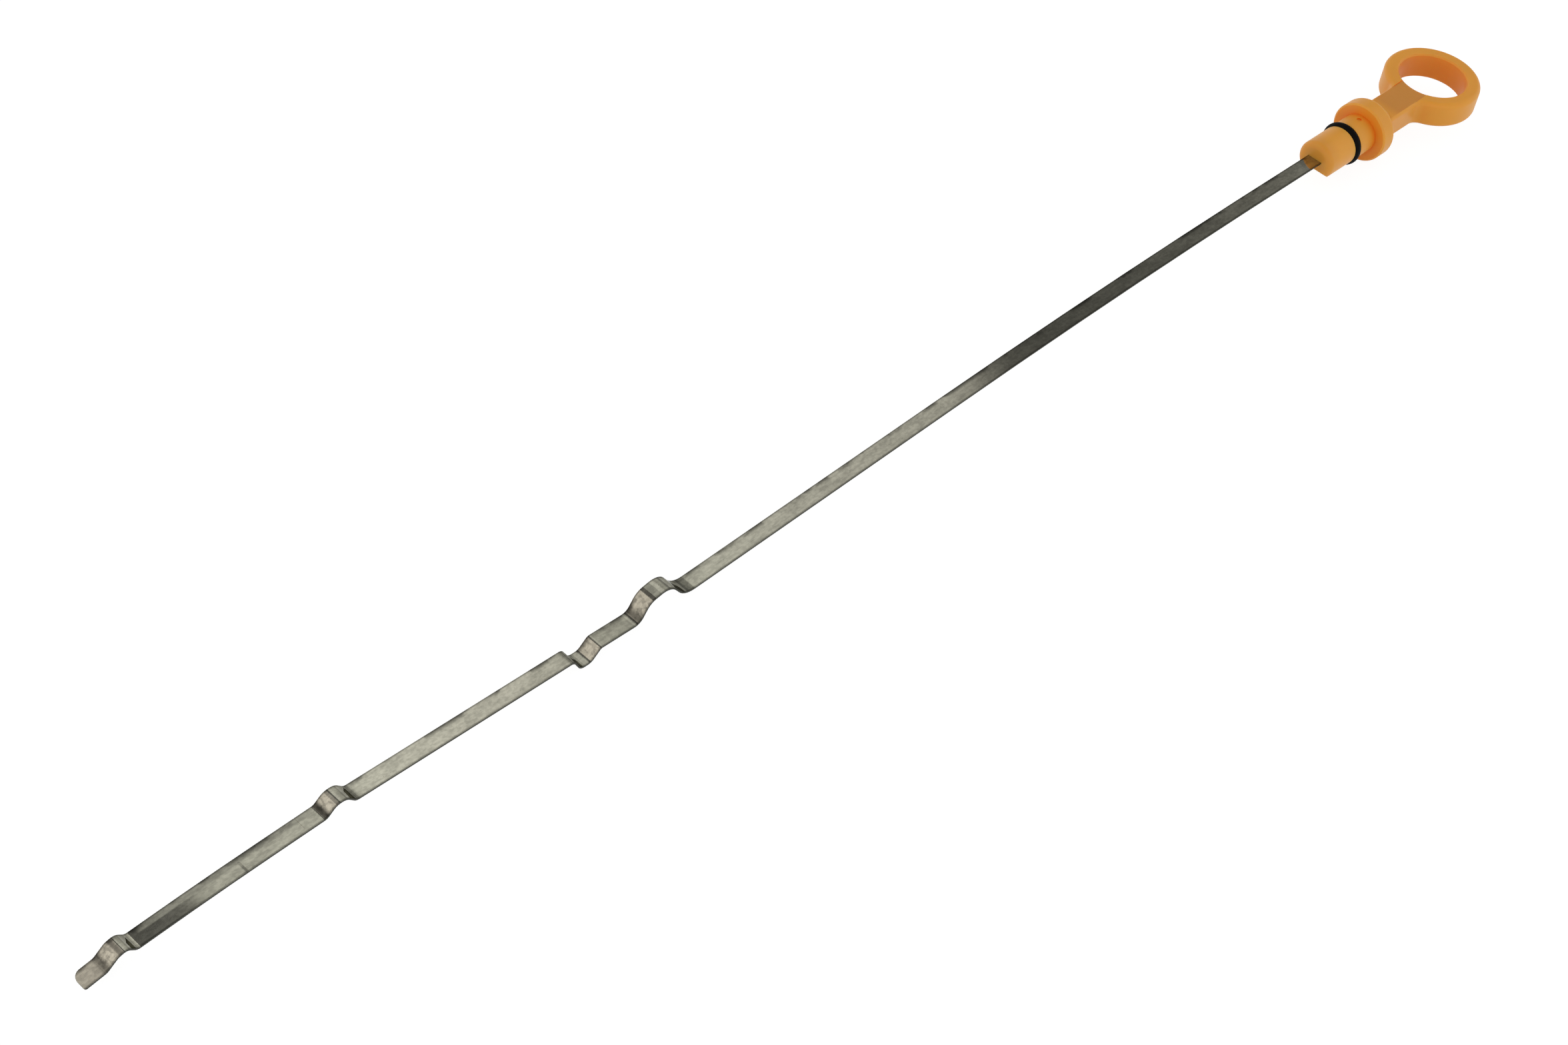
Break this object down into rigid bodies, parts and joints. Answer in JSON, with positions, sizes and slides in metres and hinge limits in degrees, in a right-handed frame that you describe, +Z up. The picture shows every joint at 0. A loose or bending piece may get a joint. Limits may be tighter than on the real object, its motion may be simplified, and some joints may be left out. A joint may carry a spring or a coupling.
{
  "type": "engine oil dipstick",
  "caption": "Oil level dipstick: long bent steel blade with joggles near its tip, moulded amber handle with finger ring, round flange and plug, and a black sealing ring in a groove.",
  "frame": {"origin": "on the floor below the middle of the part's box, with the part lying as it comes to rest on the rim of its flange and the lowest bend of its blade", "axes": "+X along the stick from the blade's tip towards the finger ring, +Y across the blade's width, +Z up, square to the finger ring's faces"},
  "size_m": [0.5376, 0.0312, 0.0193],
  "materials": {
    "amber_plastic": "satin moulded amber plastic, slightly translucent",
    "black_rubber": "smooth black rubber with an oily sheen",
    "rolled_steel": "cold rolled steel strip with lengthwise rolling lines and fine scratches"
  },
  "bodies": {
    "root": {"handle": "amber_plastic", "o_ring": "black_rubber", "blade": "rolled_steel"}
  },
  "joints": []
}
